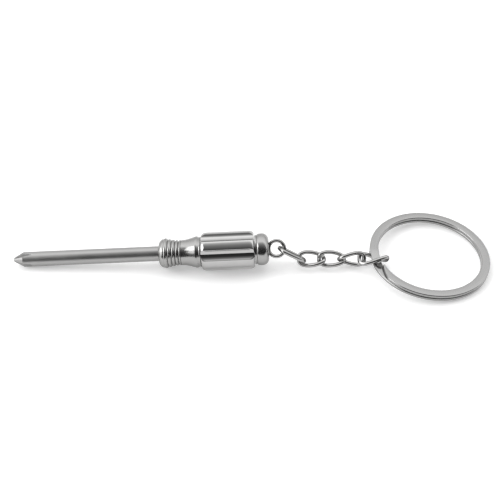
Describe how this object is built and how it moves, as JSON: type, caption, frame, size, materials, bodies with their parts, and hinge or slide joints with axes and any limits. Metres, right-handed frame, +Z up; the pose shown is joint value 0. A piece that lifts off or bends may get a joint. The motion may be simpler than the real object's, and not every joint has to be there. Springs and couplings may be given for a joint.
{
  "type": "screwdriver key ring",
  "caption": "Pocket cross-tip screwdriver with a fluted metal handle, an eye pin, a short chain and a flat split ring.",
  "frame": {"origin": "on the table under the middle of the whole object's box, as it lies", "axes": "+X runs from the screwdriver's tip along the chain to the split ring, +Z is up from the table, +Y completes the frame"},
  "size_m": [0.1186, 0.03, 0.0098],
  "materials": {
    "blade_steel": "bright plated steel, lightly brushed along its length",
    "satin_nickel": "pearl nickel plate on turned metal",
    "polished_nickel": "bright nickel plate",
    "ring_nickel": "nickel-plated flat spring wire, faintly brushed round the faces"
  },
  "bodies": {
    "tool": {"blade": "blade_steel", "ferrule": "satin_nickel", "grip": "polished_nickel", "end_cap": "satin_nickel", "eye_pin": "polished_nickel"},
    "link_1": {"link_1": "polished_nickel"},
    "link_2": {"link_2": "polished_nickel"},
    "link_3": {"link_3": "polished_nickel"},
    "link_4": {"link_4": "polished_nickel"},
    "link_5": {"link_5": "polished_nickel"},
    "split_ring": {"split_ring": "ring_nickel"}
  },
  "joints": [
    {"name": "eye_swing", "type": "hinge", "parent": "tool", "child": "link_1", "pos_m": [0.0078, -0.0022, 0.00528], "axis": [0.2917, 0.6551, 0.697], "range_deg": [-80, 80]},
    {"name": "link_2_swing", "type": "hinge", "parent": "link_1", "child": "link_2", "pos_m": [0.01266, -0.0022, 0.00219], "axis": [0.2679, -0.866, 0.4222], "range_deg": [-85, 85]},
    {"name": "link_3_swing", "type": "hinge", "parent": "link_2", "child": "link_3", "pos_m": [0.0165, -0.0022, 0.00253], "axis": [0, 0, 1], "range_deg": [-50, 50]},
    {"name": "link_4_swing", "type": "hinge", "parent": "link_3", "child": "link_4", "pos_m": [0.0227, -0.0022, 0.00253], "axis": [0, 0.9659, 0.2588], "range_deg": [-60, 60]},
    {"name": "link_5_swing", "type": "hinge", "parent": "link_4", "child": "link_5", "pos_m": [0.02651, -0.0022, 0.00253], "axis": [0, -1, 0], "range_deg": [-60, 60]},
    {"name": "ring_swing", "type": "hinge", "parent": "link_5", "child": "split_ring", "pos_m": [0.03053, -0.0022, 0.00253], "axis": [0.5, 0.866, 0], "range_deg": [-5, 120]}
  ]
}
